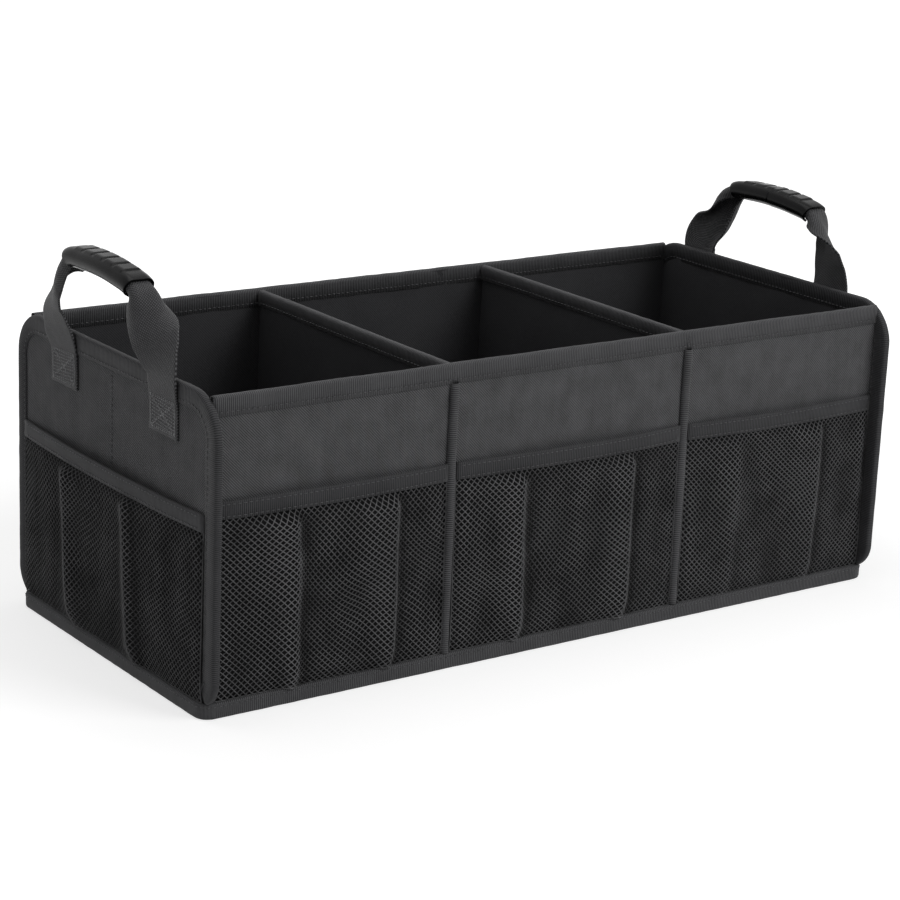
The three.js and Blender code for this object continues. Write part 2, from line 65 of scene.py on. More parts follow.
# How round each tape's fold is.
HEM_FOLD = 2.6 * MM
FLANGE_FOLD = 2.4 * MM
BASE_FOLD = 2.2 * MM
RIDGE_FOLD = 3.0 * MM
MOUTH_FOLD = 1.0 * MM

# How far each tape's stitches lie in from its edge. A pocket's mouth has two rows.
HEM_SEAM = 2.4 * MM
FLANGE_SEAM = 2.6 * MM
BASE_SEAM = 2.6 * MM
RIDGE_SEAM = 2.2 * MM
MOUTH_SEAMS = (2.0 * MM, 2.2 * MM)

# The unevenness of cloth and tape: how far across its waves are, and how high.
OUTER_WAVES = ((34 * MM, 0.35 * MM), (13 * MM, 0.12 * MM))
LINING_WAVES = ((45 * MM, 0.9 * MM), (15 * MM, 0.25 * MM))
DIVIDER_WAVES = ((40 * MM, 0.7 * MM), (14 * MM, 0.2 * MM))
FLOOR_WAVES = ((60 * MM, 0.4 * MM),)
HEM_WAVE = (60 * MM, 0.5 * MM)
RIB_WAVE = (70 * MM, 0.8 * MM)
RIDGE_WAVE = (80 * MM, 0.8 * MM)
MOUTH_WAVE = (50 * MM, 0.6 * MM)

# The cloth panels: how finely they are divided, and how their seams and folds hold them in.
CLOTH_CELL = 9 * MM
FLOOR_CELL = 16 * MM
LINING_SEAT = 0.5 * MM
SEAM_PINCH = 0.2 * MM
PINCH_REACH = (26 * MM, 22 * MM)
PANEL_FOLD = (5 * MM, 0.5 * MM)
# Painted shade: the outer cloth under a net is drawn near-black up to this far above its band's lower edge.
PAINTED_SHADE_REACH = 6 * MM

# The mesh of the pockets: how wide and tall its diamonds are, and its thread.
NET_CELL = (5.0 * MM, 4.7 * MM)
NET_THREAD = 1.1 * MM

# How a pocket stands off its wall: its mouth's bow, its seat, its slack, its folds, its waves and its sag.
MOUTH_BOW = 5 * MM
MOUTH_HALF = 1.1 * MM
NET_SLACK = 1.5 * MM
FOLD_DEPTH = 8 * MM
NET_WAVE = 2 * MM
NET_WAVE_SIZE = (28 * MM, 70 * MM)
NET_SAG = 6 * MM
NET_SAG_SIZE = (38 * MM, 60 * MM)
# The rows and columns in which a net's own length is measured.
NET_ROWS = 30
NET_COLUMNS = 240
# Painted light and shade on the nets: how light they show on each wall, darker on the end walls, and which
# way their folds' lit flanks face there. Crests and lit flanks get painted light, hollows painted shade.
NET_PAINTED_LEVEL = {"front": 0.31, "left": 0.12, "right": 0.12}
NET_FACING = {"front": 1, "left": -0.4, "right": -0.4}
CREST_LIGHT = 0.22
FLANK_LIGHT = 0.6
HOLLOW_SHADE = 0.6
SHADE_RANGE = (-0.15, 0.4)

# The webbing and its folded section inside the grip.
STRAP_WIDTH = 40 * MM
STRAP = 1.6 * MM
FOOT_SPACING = 158 * MM
FOOT_BOTTOM = 196.5 * MM
PATCH_HEIGHT = 29 * MM
HANDLE_RISE = 67 * MM
GRIP_LENGTH = 98 * MM
GRIP_ARCH = 4 * MM
GRIP_TILT = 2 * MM
HANDLE_LEAN = 4 * MM
# How each leg of webbing hangs, as in the solids: its sideways shift and the bends of its line, in mm,
# and its turns and folds, in degrees at even steps from the wall's top to the grip.
LEGS = {
    ("left", "back"): (
        -7,
        ((4, 4, 3), (7, 6, 17), (4, 4, 37)),
        (0, 8, 24, 48, 74, 90),
        (0, 0, 20, 70, 115, 150),
    ),
    ("left", "front"): (
        0,
        ((0, 2, 3), (-5, 2, 17), (-16, 2, 36)),
        (0, 12, 30, 52, 76, 90),
        (0, 0, 12, 50, 95, 150),
    ),
    ("right", "back"): (
        13,
        ((4, 3, 3), (-5, 3, 15), (-24, 3, 32)),
        (0, 2, 6, 14, 40, 85),
        (0, 24, 65, 95, 120, 150),
    ),
    ("right", "front"): (
        -4,
        ((-1, 1, 3), (-4, 1, 18), (-8, 2, 34)),
        (0, 6, 14, 34, 66, 90),
        (0, 0, 12, 50, 100, 150),
    ),
}
GRIP_WALL = 2.1 * MM
GRIP_RIDGE = 1.0 * MM
GRIP_RIDGES = 5
FOLDED_FLAT = 5 * MM
FOLDED_RADIUS = 4.2 * MM
FOLDED_TURN = math.radians(150)
GRIP_LIP = 3 * MM

# Stitching, and the sewn box and cross on each foot of a handle.
STITCH = 3.3 * MM
STITCH_PITCH = 4.4 * MM
STITCH_THREAD = 0.9 * MM
PATCH_STITCH = 2.4 * MM
PATCH_PITCH = 3.0 * MM
PATCH_INSET = 3.0 * MM
DOUBLED = 1.1 * MM

# Pattern sizes of the materials: real yarns and grain, drawn as coarse as they need to show in the render.
TWILL = 1.5 * MM
CLOTH_YARN = 1.1 * MM
LINING_YARN = 1.0 * MM
GROSGRAIN_RIB = 1.6 * MM
TAPE_YARN = 1.2 * MM
NET_TWIST = 1.6 * MM
NET_DRIFT = 26 * MM
FLOAT_LENGTH = 2.2 * MM
FLOAT_WIDTH = 2.0 * MM
MOULD_GRAIN = 2.5 * MM
THREAD_PLY = 0.8 * MM
# How much cloudy patches change a material's tone.
MOTTLE = 0.36

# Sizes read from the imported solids.
front_face = -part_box("front_cloth")[0].y
end_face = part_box("right_end_cloth")[1].x
wall_inside = -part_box("front_lining")[1].y
wall_thickness = front_face - wall_inside
wall_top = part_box("front_hem_tape")[1].z
hem_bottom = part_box("front_hem_tape")[0].z
end_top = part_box("left_end_binding")[1].z
base_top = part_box("base_binding")[1].z
inner_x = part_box("front_cloth")[1].x
seam_x = (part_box("front_rib_right")[0].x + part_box("front_rib_right")[1].x) / 2
rib_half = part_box("front_rib_right")[1].x - seam_x
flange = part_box("left_end_binding")[1].y - front_face


# Materials


def srgb(code):
    """A colour written as hex, turned to the linear values that shaders take."""
    parts = [int(code[i : i + 2], 16) / 255 for i in (1, 3, 5)]
    return (*(c / 12.92 if c <= 0.04045 else ((c + 0.055) / 1.055) ** 2.4 for c in parts), 1)


def node(tree, kind, links=None, **settings):
    """Adds a shader node, with its settings, and its inputs set or linked."""
    made = tree.nodes.new(f"ShaderNode{kind}")
    for key, value in settings.items():
        setattr(made, key, value)
    for key, value in (links or {}).items():
        if isinstance(value, bpy.types.NodeSocket):
            tree.links.new(value, made.inputs[key])
        else:
            made.inputs[key].default_value = value
    return made


def material(name, roughness, sheen=0.0, specular=0.5):
    """A new material, its node tree, and the piece's own coordinates for its patterns."""
    made = bpy.data.materials.new(name)
    made.use_nodes = True
    shader = made.node_tree.nodes["Principled BSDF"]
    shader.inputs["Roughness"].default_value = roughness
    shader.inputs["Sheen Weight"].default_value = sheen
    shader.inputs["Sheen Roughness"].default_value = 0.4
    shader.inputs["Specular IOR Level"].default_value = specular
    return made, made.node_tree, node(made.node_tree, "TexCoord").outputs["Object"]


def bands(spacing):
    """The scale at which a wave texture's bands along one axis lie spacing apart."""
    return 2 * math.pi / (20 * spacing)


def finish(made, where, height, dark, light, depth, strength, mottle=60):
    """Colours a weave from its height field, mottles it a little and gives it relief."""
    tree = made.node_tree
    shader = tree.nodes["Principled BSDF"]
    cloud = node(tree, "TexNoise", {"Vector": where, "Scale": mottle, "Detail": 4.0})
    mottled = {0: cloud.outputs["Fac"], 1: MOTTLE, 2: -MOTTLE / 2}
    spread = node(tree, "Math", mottled, operation="MULTIPLY_ADD")
    added = {0: height, 1: spread.outputs[0]}
    level = node(tree, "Math", added, operation="ADD", use_clamp=True)
    ramp = node(tree, "ValToRGB", {"Fac": level.outputs[0]})
    ramp.color_ramp.elements[0].color = srgb(dark)
    ramp.color_ramp.elements[1].color = srgb(light)
    tree.links.new(ramp.outputs["Color"], shader.inputs["Base Color"])
    relief = node(tree, "Bump", {"Height": height, "Distance": depth, "Strength": strength})
    tree.links.new(relief.outputs["Normal"], shader.inputs["Normal"])
    return made


# The diagonal lines of a twill.
TWILL_LINES = {"Scale": 2 * bands(TWILL * math.sqrt(2)), "Distortion": 0.6, "Detail": 1.0}


def woven_polyester():
    """600 denier polyester: a matt twill of textured yarn, whose lines catch a little light."""
    made, tree, where = material("woven_polyester", 0.85, 0.08, 0.2)
    lines = node(tree, "TexWave", {"Vector": where, **TWILL_LINES}, bands_direction="DIAGONAL")
    yarn = node(tree, "TexNoise", {"Vector": where, "Scale": 1 / CLOTH_YARN, "Detail": 2.0})
    weave = node(tree, "Mix", {"Factor": 0.3, "A": lines.outputs["Fac"], "B": yarn.outputs["Fac"]})
    # Thicker places in the upright yarns, some 4 mm wide and 45 mm tall, show as faint streaks.
    drawn = node(tree, "Mapping", {"Vector": where, "Scale": (230, 230, 22)})
    slubs = node(tree, "TexNoise", {"Vector": drawn.outputs[0], "Scale": 1.0, "Detail": 3.0})
    mixed = {"Factor": 0.16, "A": weave.outputs["Result"], "B": slubs.outputs["Fac"]}
    height = node(tree, "Mix", mixed).outputs["Result"]
    return finish(made, where, height, "#0a0a0c", "#6f6f71", 0.4 * MM, 1.0)


def lining_polyester():
    """A thin twill lining, coated on its back: nearly black and a little smoother than the outside."""
    made, tree, where = material("lining_polyester", 0.8, 0.0, 0.15)
    lines = node(tree, "TexWave", {"Vector": where, **TWILL_LINES}, bands_direction="DIAGONAL")
    yarn = node(tree, "TexNoise", {"Vector": where, "Scale": 1 / LINING_YARN, "Detail": 2.0})
    mixed = {"Factor": 0.6, "A": lines.outputs["Fac"], "B": yarn.outputs["Fac"]}
    height = node(tree, "Mix", mixed).outputs["Result"]
    return finish(made, where, height, "#262628", "#4a4a4c", 0.25 * MM, 0.35, 25)


def grosgrain(name, dark, light):
    """Grosgrain binding: weft ribs across the tape that catch the light one by one."""
    made, tree, where = material(name, 0.75, 0.08, 0.25)
    lay = node(tree, "UVMap", uv_map="lay").outputs["UV"]
    across = {"Vector": lay, "Scale": bands(GROSGRAIN_RIB), "Distortion": 1.2, "Detail": 2.0}
    ribs = node(tree, "TexWave", across, bands_direction="X")
    yarn = node(tree, "TexNoise", {"Vector": where, "Scale": 1 / TAPE_YARN, "Detail": 2.0})
    mixed = {"Factor": 0.25, "A": ribs.outputs["Fac"], "B": yarn.outputs["Fac"]}
    height = node(tree, "Mix", mixed).outputs["Result"]
    return finish(made, where, height, dark, light, 0.3 * MM, 0.6)


def painted_shade_cloth():
    """Painted shade behind a net: the same cloth drawn nearly black, standing in for the shade that the mesh
    over it casts.
    """
    made, tree, where = material("painted_shade_cloth", 0.9, 0.0, 0.1)
    yarn = node(tree, "TexNoise", {"Vector": where, "Scale": 1 / CLOTH_YARN, "Detail": 2.0})
    return finish(made, where, yarn.outputs["Fac"], "#121213", "#262627", 0.2 * MM, 0.4)


def net_thread():
    """Knitted polyester mesh: slim matt threads, with painted light on a fold's crest and lit flank and
    painted shade at its foot.
    """
    made, tree, where = material("net_thread", 0.6, 0.05, 0.3)
    twist = node(tree, "TexNoise", {"Vector": where, "Scale": 1 / NET_TWIST, "Detail": 2.0})
    # The threads' stored painted light and shade, with a slow random drift, shifts their tone.
    lift = node(tree, "Attribute", attribute_name="lift").outputs["Fac"]
    drift = node(tree, "TexNoise", {"Vector": where, "Scale": 1 / NET_DRIFT, "Detail": 2.0})
    spread = node(tree, "MapRange", {"Value": lift, "To Min": -0.42, "To Max": 0.75})
    drifted = {0: drift.outputs["Fac"], 1: 0.5, 2: spread.outputs[0]}
    drift_and_painted_light = node(tree, "Math", drifted, operation="MULTIPLY_ADD")
    mixed = {"Factor": 0.7, "A": twist.outputs["Fac"], "B": drift_and_painted_light.outputs[0]}
    height = node(tree, "Mix", mixed).outputs["Result"]
    return finish(made, where, height, "#161617", "#8e8e90", 0.2 * MM, 0.3)


def polypropylene_webbing():
    """Woven webbing: a basket of short floats with a low satin light."""
    made, tree, where = material("polypropylene_webbing", 0.6, 0.05, 0.25)
    lay = node(tree, "UVMap", uv_map="lay").outputs["UV"]
    along = node(tree, "TexWave", {"Vector": lay, "Scale": bands(FLOAT_LENGTH)}, bands_direction="X")
    across = node(tree, "TexWave", {"Vector": lay, "Scale": bands(FLOAT_WIDTH)}, bands_direction="Y")
    waves = {0: along.outputs["Fac"], 1: across.outputs["Fac"]}
    over = node(tree, "Math", waves, operation="MULTIPLY").outputs[0]
    gaps = [node(tree, "Math", {0: 1.0, 1: wave}, operation="SUBTRACT") for wave in waves.values()]
    between = {0: gaps[0].outputs[0], 1: gaps[1].outputs[0]}
    under = node(tree, "Math", between, operation="MULTIPLY").outputs[0]
    floats = node(tree, "Math", {0: over, 1: under}, operation="MAXIMUM").outputs[0]
    return finish(made, where, floats, "#0e0e10", "#565658", 0.4 * MM, 0.9)


def moulded_rubber():
    """Injection-moulded PVC rubber: smooth and semi-gloss, with a faint mould grain."""
    made, tree, where = material("moulded_rubber", 0.26, 0.0, 0.1)
    grain = node(tree, "TexNoise", {"Vector": where, "Scale": 1 / MOULD_GRAIN, "Detail": 3.0})
    return finish(made, where, grain.outputs["Fac"], "#060607", "#0d0d0e", 0.12 * MM, 0.25)


def sewing_thread(name, dark, light):
    """Bonded polyester sewing thread, a little shinier than the cloth."""
    made, tree, where = material(name, 0.5, 0.0, 0.3)
    ply = node(tree, "TexNoise", {"Vector": where, "Scale": 1 / THREAD_PLY, "Detail": 1.0})
    return finish(made, where, ply.outputs["Fac"], dark, light, 0.1 * MM, 0.3)


def grey_board():
    """Polypropylene board, hidden in the walls: extruded, plain and matt."""
    made, tree, where = material("grey_board", 0.6)
    drawn = node(tree, "TexNoise", {"Vector": where, "Scale": 90.0, "Detail": 2.0})
    return finish(made, where, drawn.outputs["Fac"], "#3e3c38", "#4c4a45", 0.1 * MM, 0.2)


cloth = woven_polyester()
lining = lining_polyester()
tape = grosgrain("grosgrain_tape", "#161618", "#606062")
dark_tape = grosgrain("dark_grosgrain", "#0e0e10", "#4a4a4c")
# The near-black cloth under the nets is painted shade.
net_shade_cloth = painted_shade_cloth()
net_yarn = net_thread()
webbing = polypropylene_webbing()
rubber = moulded_rubber()
thread = sewing_thread("sewing_thread", "#2e2e30", "#606062")
patch_thread = sewing_thread("patch_thread", "#4c4c4e", "#a6a6a8")
board = grey_board()


# Building


def in_scene(name, data):
    """A new object of data, linked into the scene."""
    made = bpy.data.objects.new(name, data)
    bpy.context.scene.collection.objects.link(made)
    return made


def piece(name, form, finish_of, slot, replaced=(), thickness=0.0):
    """Makes a finished object of a bmesh, riding on the box."""
    mesh = bpy.data.meshes.new(name)
    form.to_mesh(mesh)
    form.free()
    mesh.polygons.foreach_set("use_smooth", [True] * len(mesh.polygons))
    mesh.materials.append(finish_of)
    made = in_scene(name, mesh)
    if thickness:
        solid = made.modifiers.new("thickness", "SOLIDIFY")
        solid.thickness = thickness
        solid.offset = 0
        solid.use_even_offset = False
    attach(made, "root")
    if replaced:
        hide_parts(*replaced)
    return made


def laid(columns, rows, size, place):
    """A grid of columns by rows, size = (length, width) when flat, each point moved to place(u, v)."""
    form = bmesh.new()
    lay = form.loops.layers.uv.new("lay")
    bmesh.ops.create_grid(form, x_segments=columns, y_segments=rows, size=0.5, calc_uvs=True)
    for face in form.faces:
        for corner in face.loops:
            corner[lay].uv = (corner[lay].uv.x * size[0], corner[lay].uv.y * size[1])
    for vert in form.verts:
        vert.co = place(vert.co.x + 0.5, vert.co.y + 0.5)
    return form


def wall_frame(turn, distance):
    """A wall's own frame: x along it, y outwards from the outer face of its cloth, z up."""
    outwards = Vector((-math.sin(turn), math.cos(turn), 0))
    return Matrix.Translation(outwards * distance) @ Matrix.Rotation(turn, 4, "Z")


WALLS = {
    "front": wall_frame(math.pi, front_face),
    "back": wall_frame(0, front_face),
    "left": wall_frame(math.pi / 2, end_face),
    "right": wall_frame(-math.pi / 2, end_face),
}


def ripple(point, size, depth):
    """A soft unevenness of cloth, about size across and up to depth high."""
    return noise.noise(point / size) * depth


def uneven(point, waves):
    return sum(ripple(point, *wave) for wave in waves)


def smooth(low, high, value):
    """0 up to low, 1 from high on, and an even slope between."""
    t = min(1, max(0, (value - low) / (high - low)))
    return t * t * (3 - 2 * t)


def bend(corners, radius, steps=4):
    """A line through corners with each inner corner rounded."""
    line = [Vector(corners[0])]
    for before, here, after in zip(corners, corners[1:], corners[2:]):
        here, back, on = Vector(here), Vector(before) - Vector(here), Vector(after) - Vector(here)
        reach = min(radius, back.length * 0.49, on.length * 0.49)
        start, end = here + back.normalized() * reach, here + on.normalized() * reach
        for i in range(steps + 1):
            t = i / steps
            line.append(start * (1 - t) ** 2 + here * 2 * t * (1 - t) + end * t**2)
    line.append(Vector(corners[-1]))
    return line


def length_of(line):
    return sum((b - a).length for a, b in zip(line, line[1:]))


def sweep(path, section, unevenness=0.25 * MM):
    """Tape with a section, a line in two axes, laid along a path of (origin, first axis, second axis)."""
    steps = [0.0]
    for a, b in zip(path, path[1:]):
        steps.append(steps[-1] + (b[0] - a[0]).length)
    size = (steps[-1], length_of(section))
    rows, columns = len(section) - 1, len(path) - 1

    def place(u, v):
        origin, first, second = path[round(u * columns)]
        a, b = section[round(v * rows)]
        point = origin + first * a + second * b
        return point + (first * b + second * a).normalized() * ripple(point, 9 * MM, unevenness)

    return laid(columns, rows, size, place)


def stitches(name, rows, slot="binding_tape", length=STITCH, pitch=STITCH_PITCH):
    """Sewn stitches along rows, each a list of (point, outward direction)."""
    form = bmesh.new()
    for row in rows:
        carried = pitch / 2
        for (a, out), (b, _) in zip(row, row[1:]):
            along = (b - a).normalized()
            side = out.cross(along).normalized()
            span = (b - a).length
            while carried < span:
                at = a.lerp(b, carried / span) + out * STITCH_THREAD * 0.12
                turn = Matrix((along, side, out)).transposed().to_4x4()
                size = Matrix.Diagonal((length / 2, STITCH_THREAD / 2, STITCH_THREAD / 2, 1))
                where = Matrix.Translation(at) @ turn @ size
                bmesh.ops.create_icosphere(form, subdivisions=1, radius=1, matrix=where)
                carried += pitch
            carried -= span
    return piece(name, form, thread, slot)


def straight(start, end, out):
    """A straight row for stitches, from start to end."""
    return [(start, out), (end, out)]


def dressed(name, node_name, finish_of, slot, cell, shift, painted_shade_top=None):
    """A sheet of its solid's outline, divided into cells and moved by shift. Below the given height, where a
    net covers it, its faces are drawn in painted shade.
    """
    form = bmesh.new()
    form.from_mesh(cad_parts[node_name].data)
    bmesh.ops.remove_doubles(form, verts=form.verts, dist=0.01 * MM)
    bmesh.ops.dissolve_limit(form, angle_limit=math.radians(1), verts=form.verts, edges=form.edges)
    low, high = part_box(node_name)
    for axis in range(3):
        span = high[axis] - low[axis]
        for i in range(1, int(span / cell)):
            at, normal = low.copy(), Vector((0, 0, 0))
            at[axis] += span * i / int(span / cell)
            normal[axis] = 1
            every = form.verts[:] + form.edges[:] + form.faces[:]
            bmesh.ops.bisect_plane(form, geom=every, dist=0.001 * MM, plane_co=at, plane_no=normal)
    for vert in form.verts:
        vert.co += shift(vert.co)
    bmesh.ops.triangulate(form, faces=form.faces)
    made = piece(name, form, finish_of, slot, (node_name,))
    made.data.polygons.foreach_set("use_smooth", [False] * len(made.data.polygons))
    made.data.set_sharp_from_angle(angle=math.radians(40))
    made.data.polygons.foreach_set("use_smooth", [True] * len(made.data.polygons))
    # Faces under a net take the near-black cloth: painted shade for the shade the mesh casts.
    if painted_shade_top:
        made.data.materials.append(net_shade_cloth)
        for polygon in made.data.polygons:
            if polygon.center.z < painted_shade_top:
                polygon.material_index = 1
    return made


# Cloth panels


def panel_size(node_name, along):
    low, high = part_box(node_name)
    return (getattr(high - low, along), high.z - low.z)


def on_wall(point):
    """How far a long wall's cloth stands off: out between the seams, in at them and at its edges."""
    nearest = min(abs(point.x - seam) for seam in (-inner_x, -seam_x, seam_x, inner_x))
    sideways = min(1, nearest / PINCH_REACH[0])
    upright = min(1, max(0, min(point.z - base_top, hem_bottom - point.z)) / PINCH_REACH[1])
    held_in = SEAM_PINCH * (math.sin(sideways * math.pi / 2) * math.sin(upright * math.pi / 2) - 1)
    return held_in + uneven(point, OUTER_WAVES)


def on_end(point):
    """How far an end's cloth stands off: in at the fold down its middle."""
    width, depth = PANEL_FOLD
    return uneven(point, OUTER_WAVES) - math.exp(-((point.y / width) ** 2)) * depth


def in_lining(point):
    return uneven(point, LINING_WAVES) - LINING_SEAT


def make_panels():
    """The cloth and lining of each wall, then the cloth of the dividers and the floor boards."""
    for side, panel, solid, along, outward, rest, band, outer in (
        ("front", "wall", "front", "x", (0, -1, 0), "board_middle", "front_middle_band", on_wall),
        ("back", "wall", "back", "x", (0, 1, 0), "board_middle", None, on_wall),
        ("left", "end_panel", "left_end", "y", (-1, 0, 0), "end_board_front", "left_end_band", on_end),
        ("right", "end_panel", "right_end", "y", (1, 0, 0), "end_board_front", "right_end_band", on_end),
    ):
        for layer, made_of, slot, shift in (
            ("cloth", cloth, "outer_cloth", outer),
            ("lining", lining, "lining_cloth", in_lining),
        ):

            def moved(point, outward=outward, shift=shift):
                return Vector(outward) * shift(point)

            where = f"{solid}_{layer}"
            flat = panel_size(where, along)
            # Behind a net the outer cloth is drawn in painted shade, up to a little above its band's lower
            # edge.
            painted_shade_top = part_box(band)[0].z + PAINTED_SHADE_REACH if band and layer == "cloth" else None
            dressed(f"{side}_{panel}_{layer}", where, made_of, slot, CLOTH_CELL, moved, painted_shade_top)

    def in_divider(point):
        return Vector((uneven(point, DIVIDER_WAVES), 0, 0))

    def on_floor(point):
        return Vector((0, 0, uneven(point, FLOOR_WAVES)))

    for side in ("left", "right"):
        where = f"divider_{side}_cover"
        dressed(f"divider_{side}_cloth", where, lining, "lining_cloth", CLOTH_CELL, in_divider)
    for name in ("floor_board_left", "floor_board_middle", "floor_board_right"):
        dressed(f"{name}_cloth", name, lining, "floor_board", FLOOR_CELL, on_floor)


# Tapes


def make_hems():
    """The tape over the top of each long wall, its legs sewn through."""
    leg = wall_top - hem_bottom
    out = GAP + TAPE / 2
    inner = -wall_thickness - out
    section = bend([(out, -leg), (out, 0), (inner, 0), (inner, -leg)], HEM_FOLD)
    for side in ("front", "back"):
        at = WALLS[side]
        up, outwards = Vector((0, 0, 1)), at.to_3x3() @ Vector((0, 1, 0))
        count = 210
        path = []
        for i in range(count + 1):
            x = (i / count * 2 - 1) * inner_x
            origin = at @ Vector((x, 0, wall_top - TAPE / 2 - GAP))
            origin.z += ripple(origin, *HEM_WAVE)
            path.append((origin, outwards, up))
        form = sweep(path, section)
        piece(f"{side}_hem", form, tape, "binding_tape", (f"{side}_hem_tape",), TAPE)
        rows = []
        for face, way in ((out + TAPE / 2, 1), (inner - TAPE / 2, -1)):
            ends = [at @ Vector((s * (inner_x - 3 * MM), face, hem_bottom + HEM_SEAM)) for s in (-1, 1)]
            rows.append(straight(*ends, outwards * way))
        # Short bars of close stitches hold the hem where each divider is sewn in.
        for seam in (-seam_x, seam_x):
            face = out + TAPE / 2
            ends = [at @ Vector((seam, face, z)) for z in (hem_bottom + 1.5 * MM, wall_top - 3 * MM)]
            for side_step in (-1, 0, 1):
                nudge = at.to_3x3() @ Vector((side_step * 0.8 * MM, 0, 0))
                rows.append(straight(ends[0] + nudge, ends[1] + nudge, outwards))
        stitches(f"{side}_hem_stitches", rows)


def end_outline(inset):
    """Points up one flange of an end panel's edge, over its top and down the other, with their normals."""
    count = 44
    half = front_face + flange - inset
    top = end_top - inset
    corner = FLANGE_CORNER - inset
    low = base_top + GAP
    bend_radius = FLANGE_BEND - inset
    centre = low + FLANGE_ROUNDING
    side = []
    start = math.asin(FLANGE_ROUNDING / bend_radius)
    for i in range(8):
        angle = -start * (1 - i / 8)
        way = Vector((math.cos(angle), 0, math.sin(angle)))
        side.append((Vector((half - bend_radius, 0, centre)) + way * bend_radius, way))
    for i in range(count + 1):
        z = centre + (top - corner - centre) * i / count
        side.append((Vector((half, 0, z)), Vector((1, 0, 0))))
    for i in range(1, 13):
        angle = math.pi / 2 * i / 12
        way = Vector((math.cos(angle), 0, math.sin(angle)))
        side.append((Vector((half - corner, 0, top - corner)) + way * corner, way))
    across = [
        (Vector(((half - corner) * (1 - 2 * i / count), 0, top)), Vector((0, 0, 1))) for i in range(1, count)
    ]
    flip = [(Vector((-p.x, 0, p.z)), Vector((-n.x, 0, n.z))) for p, n in reversed(side)]
    return side + across + flip


def make_end_bindings():
    """Binding around each end panel. Its two legs pinch together over the flange, past the boards."""
    for side in ("left", "right"):
        at = WALLS[side]
        turn = at.to_3x3()
        out = GAP + TAPE / 2
        inner = -wall_thickness - GAP - TAPE / 2
        wide = BINDING_WIDTH
        section = bend([(-wide, out), (0, out), (0, inner), (-wide, inner)], FLANGE_FOLD, 5)
        path = []
        for point, way in end_outline(TAPE / 2):
            path.append((at @ point, turn @ way, turn @ Vector((0, 1, 0))))
        form = sweep(path, section)
        piece(f"{side}_flange_tape", form, dark_tape, "binding_tape", (f"{side}_end_binding",), TAPE)
        rows = []
        for face, direction in ((out + TAPE / 2, 1), (inner - TAPE / 2, -1)):
            row = []
            for point, way in end_outline(TAPE / 2):
                lifted = point - way * (wide - FLANGE_SEAM) + Vector((0, face, 0))
                row.append((at @ lifted, turn @ Vector((0, direction, 0))))
            rows.append(row)
        # The centre fold of the panel is sewn from the pocket's base to the rim.
        fold = [at @ Vector((0, 0.15 * MM, z)) for z in (base_top + 3 * MM, end_top - wide - 1 * MM)]
        rows.append(straight(*fold, turn @ Vector((0, 1, 0))))
        stitches(f"{side}_flange_stitches", rows)


def make_base():
    """The tape around the base: a low upright band with round corners, folded under the walls."""
    half_x, half_y = end_face + BASE_PROUD, front_face + BASE_PROUD
    corners = []
    for sx, sy, start in ((1, -1, -90), (1, 1, 0), (-1, 1, 90), (-1, -1, 180)):
        middle = Vector((sx * (half_x - BASE_CORNER), sy * (half_y - BASE_CORNER), 0))
        for i in range(9):
            angle = math.radians(start + 90 * i / 8)
            way = Vector((math.cos(angle), math.sin(angle), 0))
            corners.append((middle + way * BASE_CORNER, way))
    path = []
    for (a, n), (b, _) in zip(corners, corners[1:] + corners[:1]):
        parts = max(1, round((b - a).length / (4 * MM)))
        path += [(a.lerp(b, i / parts), n, Vector((0, 0, 1))) for i in range(parts)]
    path.append(path[0])
    half = BASE_TAPE / 2
    edge = (-BASE_PROUD + 0.5 * MM, base_top - half)
    section = bend([edge, (-half, base_top - half), (-half, half), (-BASE_FOOT, half)], BASE_FOLD)
    form = sweep(path, section, 0.2 * MM)
    for vert in form.verts:
        vert.co.z = max(vert.co.z, half)
    bmesh.ops.remove_doubles(form, verts=form.verts, dist=0.01 * MM)
    piece("base_tape", form, tape, "binding_tape", ("base_binding",), BASE_TAPE)
    row = [(place + Vector((0, 0, base_top - BASE_SEAM)), out) for place, out, _ in path]
    stitches("base_stitches", [row])


def make_ribs():
    """The bound seams that stand on the long walls where the dividers are sewn in."""
    for side in ("front", "back"):
        at = WALLS[side]
        turn = at.to_3x3()
        section = [
            Vector((math.cos(a) * rib_half, 0.5 * MM + math.sin(a) * RIB_DEPTH))
            for a in (math.pi * (1 - i / 12) for i in range(13))
        ]
        for name, x in (("left", -seam_x), ("right", seam_x)):
            low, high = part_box(f"{side}_rib_{name}")
            count = 60
            path = []
            for i in range(count + 1):
                z = low.z + (high.z - low.z) * i / count
                local = at.inverted() @ Vector((x, 0, 0))
                origin = at @ Vector((local.x + ripple(Vector((x, 0, z)), *RIB_WAVE), 0, z))
                path.append((origin, turn @ Vector((1, 0, 0)), turn @ Vector((0, 1, 0))))
            form = sweep(path, section, 0.2 * MM)
            piece(f"{side}_seam_{name}", form, tape, "binding_tape", (f"{side}_rib_{name}",), RIB_TAPE)


def make_divider_tapes():
    """The rounded tape along the top of each divider."""
    for name in ("left", "right"):
        low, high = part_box(f"divider_{name}_tape")
        half = (high.x - low.x) / 2 - TAPE / 2
        middle = (high.x + low.x) / 2
        leg = high.z - low.z
        section = bend([(-half, -leg), (-half, 0), (half, 0), (half, -leg)], RIDGE_FOLD, 6)
        count = 66
        path = []
        for i in range(count + 1):
            origin = Vector((middle, low.y + (high.y - low.y) * i / count, high.z - TAPE / 2))
            origin += Vector((ripple(origin, *RIDGE_WAVE), 0, 0))
            path.append((origin, Vector((1, 0, 0)), Vector((0, 0, 1))))
        form = sweep(path, section)
        piece(f"divider_{name}_ridge", form, tape, "binding_tape", (f"divider_{name}_tape",), TAPE)
        rows = []
        for way in (-1, 1):
            x = middle + way * (half + TAPE / 2)
            ends = [Vector((x, y, low.z + RIDGE_SEAM)) for y in (low.y + 3 * MM, high.y - 3 * MM)]
            rows.append(straight(*ends, Vector((way, 0, 0))))
        stitches(f"divider_{name}_stitches", rows)


# Net pockets


